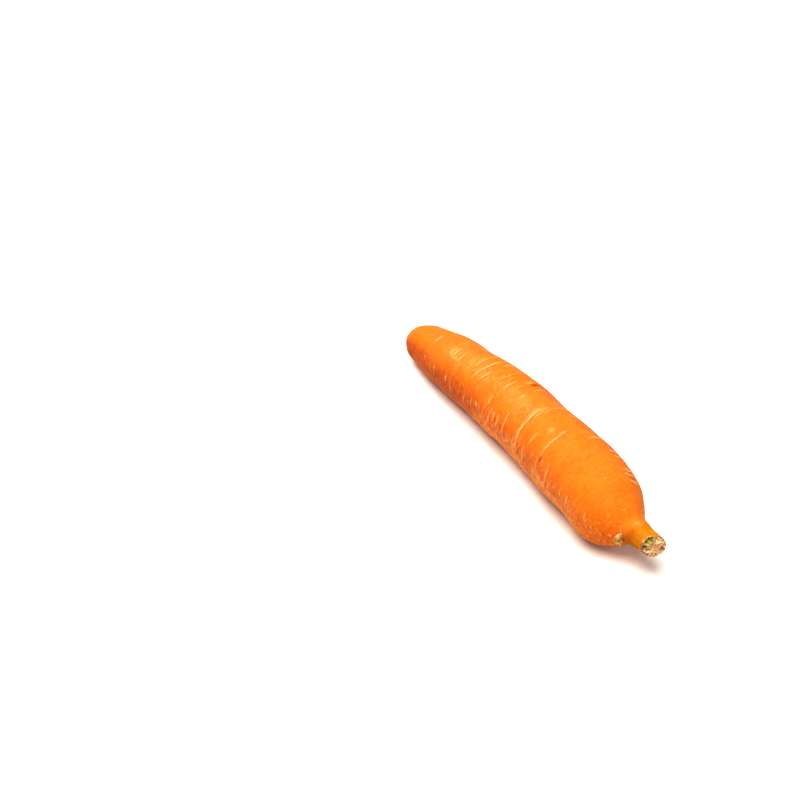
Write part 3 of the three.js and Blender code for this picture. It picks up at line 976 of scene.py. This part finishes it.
# %% Group: soft patches
# Along and Around say how many patches fit in a metre along the root and across it, so unequal
# numbers draw the patches out into streaks.
patches, given, out = new_group("soft patches", {
    "Along": 100, "Around": 100, "Low": 0.35, "High": 0.65, "Detail": 3, "Shift": 0,
}, ["Mask"])
noise = node(patches, "ShaderNodeTexNoise", {
    "Vector": scaled_place(patches, given["Along"], given["Around"]),
    "W": given["Shift"], "Scale": 1, "Detail": given["Detail"],
}, noise_dimensions="4D")
soft = node(patches, "ShaderNodeMapRange", {
    "Value": noise.outputs[0], "From Min": given["Low"], "From Max": given["High"],
}, interpolation_type="SMOOTHSTEP")
patches.links.new(soft.outputs[0], out["Mask"])
print("group", patches.name)

# %% Group: specks
# Space falls into cells, and a share of them, Cover, each hold one speck of a random size.
# Narrow makes the specks shorter along the root than around it.
LARGEST_SPECK = 0.42                      # its radius, as a share of a cell
specks, given, out = new_group(
    "specks", {"Per Metre": 800, "Narrow": 1, "Cover": 0.3, "Shift": 0}, ["Mask"])
cells = node(specks, "ShaderNodeTexVoronoi", {
    "Vector": scaled_place(specks, given["Narrow"], 1.0),
    "W": given["Shift"], "Scale": given["Per Metre"], "Randomness": 1,
}, voronoi_dimensions="4D")
which = node(specks, "ShaderNodeSeparateColor", {0: cells.outputs["Color"]}).outputs[0]
kept = node(specks, "ShaderNodeMapRange", {
    "Value": which, "From Min": given["Cover"], "From Max": 0,
}).outputs[0]
inside = maths(specks, "SUBTRACT", times(specks, kept, LARGEST_SPECK), cells.outputs["Distance"])
round_speck = node(specks, "ShaderNodeMapRange", {
    "Value": inside, "From Min": -0.05, "From Max": 0.12,
}, interpolation_type="SMOOTHSTEP")
seen = times(specks, round_speck.outputs[0], maths(specks, "GREATER_THAN", kept, 0.02))
specks.links.new(seen, out["Mask"])
print("group", specks.name)

# %% [markdown]
# ## The skin's finish
# A washed carrot is satin: smooth between its marks, rough where it is corky. A painted image
# could colour it, but would blur close up. Here the colour starts as two oranges in patches as
# long as a finger is wide, with lighter small patches, a fine pale grain and deeper pores over
# them. Then each stored mask lays its own colour over that. The bump carries only what is too
# fine for the mesh. A little light passes under the skin, which softens the grooves.

# %% Helpers for a finish
def new_material(name):
    """An empty material, its nodes and the one shader in it."""
    material = bpy.data.materials.new(name)
    material.use_nodes = True
    tree = material.node_tree
    tree.nodes.clear()
    shader = node(tree, "ShaderNodeBsdfPrincipled")
    node(tree, "ShaderNodeOutputMaterial", {"Surface": shader.outputs[0]})
    return material, tree, shader


def finish_with(tree, shader, base, roughness, height, depth):
    """Joins colour, roughness and a bump of a depth in mm to the shader."""
    bump = node(tree, "ShaderNodeBump", {"Height": height, "Distance": depth * MM, "Strength": 1.0})
    tree.links.new(base, shader.inputs["Base Color"])
    tree.links.new(roughness, shader.inputs["Roughness"])
    tree.links.new(bump.outputs[0], shader.inputs["Normal"])


print("helpers for a finish ready")

# %% Material: carrot skin
# The flanks' deeper orange is painted shade: how deep it is, and how much it varies.
FLANK_SHADE_LEAST, FLANK_SHADE_MOTTLE = 0.5, 0.24     # how deep the flanks' orange is, and how much it varies
skin_finish, tree, shader = new_material("carrot_skin")
broad = use(tree, patches, Along=150, Around=110, Low=0.36, High=0.62, Detail=4)["Mask"]
small = use(tree, patches, Along=620, Around=480, Low=0.42, High=0.62, Detail=4, Shift=3)["Mask"]
fine = use(tree, patches, Along=2300, Around=1000, Low=0.5, High=0.64, Detail=2, Shift=5)["Mask"]
pores = use(tree, patches, Along=1500, Around=1300, Low=0.5, High=0.64, Detail=3, Shift=13)["Mask"]
mottle = use(tree, patches, Along=520, Around=420, Low=0.45, High=0.6, Detail=6, Shift=15)["Mask"]
# Painted shade on the flanks, in a mottled deeper orange.
mottled_shade = plus(tree, times(tree, mottle, FLANK_SHADE_MOTTLE), FLANK_SHADE_LEAST)
base = layered(tree, ORANGE, [
    (times(tree, broad, 0.6), ORANGE_DEEP),
    (times(tree, small, 0.25), ORANGE_LIGHT),
    (times(tree, fine, 0.14), CORKY),
    (times(tree, pores, 0.3), ORANGE_RED),
    (times(tree, stored(tree, "shaded_flank"), mottled_shade), ORANGE_RED),
])
print("skin's own colour ready")

# %% The skin's neck with painted shade at its foot, bloom with painted light, and freckles
DUST_LEAST = 0.34                         # bloom between the grains of dust
strands = use(tree, patches, Along=200, Around=1100, Low=0.4, High=0.62, Detail=3, Shift=7)["Mask"]
# The neck's own strands, and painted shade at its foot, both turn it towards NECK_SHADE.
strands_and_shade = maths(tree, "MAXIMUM", times(tree, strands, 0.4), stored(tree, "neck_foot_shade"))
dust = use(tree, patches, Along=900, Around=700, Low=0.4, High=0.62, Detail=5, Shift=9)["Mask"]
# Bloom, with painted light lifting the near flank and a painted highlight on the ridge.
grains = times(tree, stored(tree, "bloom_and_light"), plus(tree, dust, DUST_LEAST))
dusty_and_lit = maths(tree, "MINIMUM", grains, 0.95)
freckle = use(tree, specks, Per_Metre=620, Narrow=2.4, Cover=0.75, Shift=1)["Mask"]
freckle = times(tree, freckle, plus(tree, stored(tree, "freckles", 0.62), 0.03))
base = layered(tree, base, [
    (stored(tree, "neck"), mixed(tree, strands_and_shade, NECK_OCHRE, NECK_SHADE)),
    (dusty_and_lit, PALE_BLOOM_AND_LIGHT),
    (freckle, CORKY),
])
print("neck, bloom and freckles laid over it")

# %% The skin's marks, rim and tail
split = use(tree, patches, Along=2300, Around=260, Low=0.36, High=0.6, Detail=3, Shift=17)["Mask"]
fibre = plus(tree, times(tree, split, 0.6), 0.7)
corky = maths(tree, "MINIMUM", times(tree, stored(tree, "pale_mark"), fibre), 0.92)
base = layered(tree, base, [
    # Painted shade beside the marks, in a deeper orange.
    (stored(tree, "mark_shade", 0.75), ORANGE_RED),
    (corky, CORKY),
    (stored(tree, "dark_mark"), SCAR_BROWN),
    (stored(tree, "rim"), mixed(tree, strands, RIM_CREAM, RIM_BROWN)),
    (stored(tree, "dry_tail"), TAIL_TAN),
])
print("marks, rim and tail laid over that")

# %% The skin's sheen and bump
SATIN = 0.42                              # roughness of bare skin
CORK_ROUGHNESS = 0.22                     # added where it is corky or dusty
dull = plus(tree, plus(tree, corky, dusty_and_lit), stored(tree, "neck", 0.8))
rough = plus(tree, SATIN, times(tree, small, 0.06))
rough = plus(tree, rough, times(tree, dull, CORK_ROUGHNESS))
grain = plus(tree, times(tree, dust, 0.5), times(tree, fine, 0.8))
grain = plus(tree, maths(tree, "SUBTRACT", grain, times(tree, pores, 0.6)), freckle)
finish_with(tree, shader, base, rough, grain, 0.08)
shader.inputs["Subsurface Weight"].default_value = 0.12
shader.inputs["Subsurface Radius"].default_value = (1.0, 0.3, 0.1)
shader.inputs["Subsurface Scale"].default_value = 1.5 * MM
shader.inputs["Specular IOR Level"].default_value = 0.26
shader.inputs["Specular Tint"].default_value = ORANGE_LIGHT
taproot.data.materials.append(skin_finish)
print("material", skin_finish.name, len(tree.nodes), "nodes")

# %% [markdown]
# ## The cut face's finish
# Fresh cut stalks are pale green and cream in strands, tan at the pith and rusty where they have
# dried, and darker brown where the face lies low between the strands. Depth alone could darken the
# hollows, but they are too shallow for it at this size. So their mask paints shade into them, in a
# dark green.

# %% Material: cut stalks
stalk_finish, tree, shader = new_material("cut_stalks")
strand = use(tree, patches, Along=700, Around=1600, Low=0.4, High=0.6, Detail=3, Shift=2)["Mask"]
blotch = use(tree, patches, Along=500, Around=500, Low=0.38, High=0.6, Detail=2, Shift=6)["Mask"]
fleck = use(tree, specks, Per_Metre=1500, Cover=0.5, Shift=3)["Mask"]
woody = times(tree, plus(tree, strand, 0.35), stored(tree, "strand"))
frayed = times(tree, stored(tree, "edge"), plus(tree, strand, 0.2))
base = layered(tree, STALK_TAN, [
    (woody, STRAND_CREAM),
    (stored(tree, "green", 0.9), mixed(tree, stored(tree, "strand"), FLUTE_OLIVE, STRAND_GREEN)),
    (stored(tree, "pith", 0.6), STALK_TAN),
    (times(tree, stored(tree, "rust"), blotch), HOLLOW_RUST),
    # Darker brown where the face lies low between the strands.
    (stored(tree, "gap", 0.75), GAP_BROWN),
    (maths(tree, "MINIMUM", frayed, 1.0), RIM_CREAM),
    # Painted shade in the hollows, in a dark green.
    (maths(tree, "MINIMUM", stored(tree, "hollow_shade"), 0.95), HOLLOW_SHADE_GREEN),
    (times(tree, fleck, 0.35), HOLLOW_RUST),
])
rough = plus(tree, 0.62, times(tree, strand, 0.2))
finish_with(tree, shader, base, rough, plus(tree, strand, fleck), 0.15)
leaf_stalks.data.materials.append(stalk_finish)
print("material", stalk_finish.name, len(tree.nodes), "nodes")

# %% [markdown]
# ## The side shoot's finish
# Its dry ribs are straw coloured and darker between, with brown specks and a browner sunken
# middle. A plain straw colour would lose the ribs in soft light, so their mask paints a pale
# highlight on their tops, over the ribs' own paler dry colour, and noise breaks it up.

# %% Material: cut shoot
shoot_finish, tree, shader = new_material("cut_shoot")
grain = use(tree, patches, Along=1100, Around=1100, Low=0.38, High=0.64, Detail=3, Shift=8)["Mask"]
fleck = use(tree, specks, Per_Metre=1300, Cover=0.55, Shift=5)["Mask"]
# Painted highlight on the rib tops, over their own paler dry colour.
lit_rib = times(tree, stored(tree, "rib"), plus(tree, times(tree, grain, 0.6), 0.4))
brown = maths(tree, "MAXIMUM", times(tree, fleck, 0.7), stored(tree, "crater", 0.4))
base = mixed(tree, grain, SHOOT_SPECK, SHOOT_STRAW)
base = layered(tree, base, [(lit_rib, SHOOT_PALE_AND_HIGHLIGHT), (brown, SHOOT_SPECK)])
rough = plus(tree, 0.6, times(tree, grain, 0.2))
finish_with(tree, shader, base, rough, maths(tree, "SUBTRACT", grain, fleck), 0.12)
side_shoot.data.materials.append(shoot_finish)
print("material", shoot_finish.name, len(tree.nodes), "nodes")

# %% [markdown]
# ## Floor, light and camera
# The root lies on a plain white floor that runs out of view. One wide soft light hangs overhead,
# a little to the near side, which draws the bright band along the top of the body. A smaller one
# behind the tip rounds its end, and two weak ones fill the near side and the crown's far side.
# An image of a studio could light it too, but a few lamps are easier to steer. The floor throws
# back a warmer, darker colour than the one it shows, and the surroundings look white while they
# give only a little light: Light Path tells the two uses apart. The camera stands a metre away
# and looks down on the root past its crown. Its matrix is set from two angles, which is surer
# than turning it by hand.

# %% Floor
FLOOR_HALF = 1.3
corners = [(-FLOOR_HALF, -FLOOR_HALF, 0), (FLOOR_HALF, -FLOOR_HALF, 0),
           (FLOOR_HALF, FLOOR_HALF, 0), (-FLOOR_HALF, FLOOR_HALF, 0)]
floor_mesh = bpy.data.meshes.new("studio_floor")
floor_mesh.from_pydata(corners, [], [(0, 1, 2, 3)])
floor = bpy.data.objects.new("studio_floor", floor_mesh)
bpy.context.collection.objects.link(floor)
floor_finish, tree, shader = new_material("white_paper")
paper = use(tree, patches, Along=300, Around=300, Low=0.3, High=0.7, Detail=4, Shift=11)["Mask"]
white = mixed(tree, paper, PAPER_WHITE, PAPER_FIBRE)
looked_at = node(tree, "ShaderNodeLightPath").outputs["Is Camera Ray"]
rough = plus(tree, 0.85, times(tree, paper, 0.05))
finish_with(tree, shader, mixed(tree, looked_at, PAPER_BOUNCE, white), rough, paper, 0.01)
floor_mesh.materials.append(floor_finish)
floor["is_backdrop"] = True
print("floor", 2 * FLOOR_HALF, "m across")

# %% Soft light
SURROUND = 0.11                           # light from all sides
SURROUND_SEEN = 1.1                       # added where the camera looks past the floor
LIT_PLACE = Vector((0, 0, 0.02))


def soft_light(name, place, width, watts):
    """A round lamp of a width in metres, aimed at the root."""
    lamp = bpy.data.lights.new(name, "AREA")
    lamp.shape, lamp.size, lamp.energy = "DISK", width, watts
    light = bpy.data.objects.new(name, lamp)
    light.location = place
    light.rotation_euler = (LIT_PLACE - Vector(place)).to_track_quat("-Z", "Y").to_euler()
    bpy.context.collection.objects.link(light)
    print(name, watts, "W")


soft_light("overhead", (0.16, -0.56, 2.28), 2.2, 93.0)
soft_light("behind_tip", (-1.57, -0.13, 1.53), 0.9, 22.0)
soft_light("front_fill", (1.5, -0.9, 0.9), 1.2, 9.0)
soft_light("far_fill", (0.9, 1.6, 0.9), 1.4, 10.0)

# %% Surroundings and tone
GAMMA = 0.83                              # below 1, it deepens the middle tones
world = bpy.data.worlds.new("pale_studio")
world.use_nodes = True
tree = world.node_tree
seen_far = node(tree, "ShaderNodeLightPath").outputs["Is Camera Ray"]
glow = plus(tree, times(tree, seen_far, SURROUND_SEEN), SURROUND)
background = tree.nodes["Background"].inputs
background["Color"].default_value = (1, 1, 1, 1)
tree.links.new(glow, background["Strength"])
bpy.context.scene.world = world
bpy.context.scene.view_settings.view_transform = "Standard"
bpy.context.scene.view_settings.gamma = GAMMA
print("surroundings", SURROUND, "gamma", GAMMA)

# %% Camera
AZIMUTH, ELEVATION = 63.15, 36.59         # degrees: from the front towards +X, and up
DISTANCE = 1.0
SENSOR_WIDTH, LENS = 36, 97.1             # mm: long enough to keep near and far at one scale
AIM = Vector((-0.04356, -0.04488, 0.01745))    # the point in the middle of the picture
camera_data = bpy.data.cameras.new("camera")
camera_data.sensor_width, camera_data.lens = SENSOR_WIDTH, LENS
camera = bpy.data.objects.new("camera", camera_data)
turn, lift = np.radians(AZIMUTH), np.radians(ELEVATION)
back = Vector((np.sin(turn) * np.cos(lift), -np.cos(turn) * np.cos(lift), np.sin(lift)))
right = Vector((np.cos(turn), np.sin(turn), 0))
up = back.cross(right)
facing = Matrix((right, up, back)).transposed().to_4x4()
camera.matrix_world = Matrix.Translation(AIM + DISTANCE * back) @ facing
bpy.context.collection.objects.link(camera)
bpy.context.scene.camera = camera
print("camera at", [round(v, 3) for v in camera.matrix_world.translation])

# %% [markdown]
# ## Sizes, and the end
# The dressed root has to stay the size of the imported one.

# %% Boxes
dressed_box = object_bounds()
grown = (dressed_box[1] - dressed_box[0]) - (cad_box[1] - cad_box[0])
print("grown by", [round(float(v) / MM, 2) for v in grown], "mm")
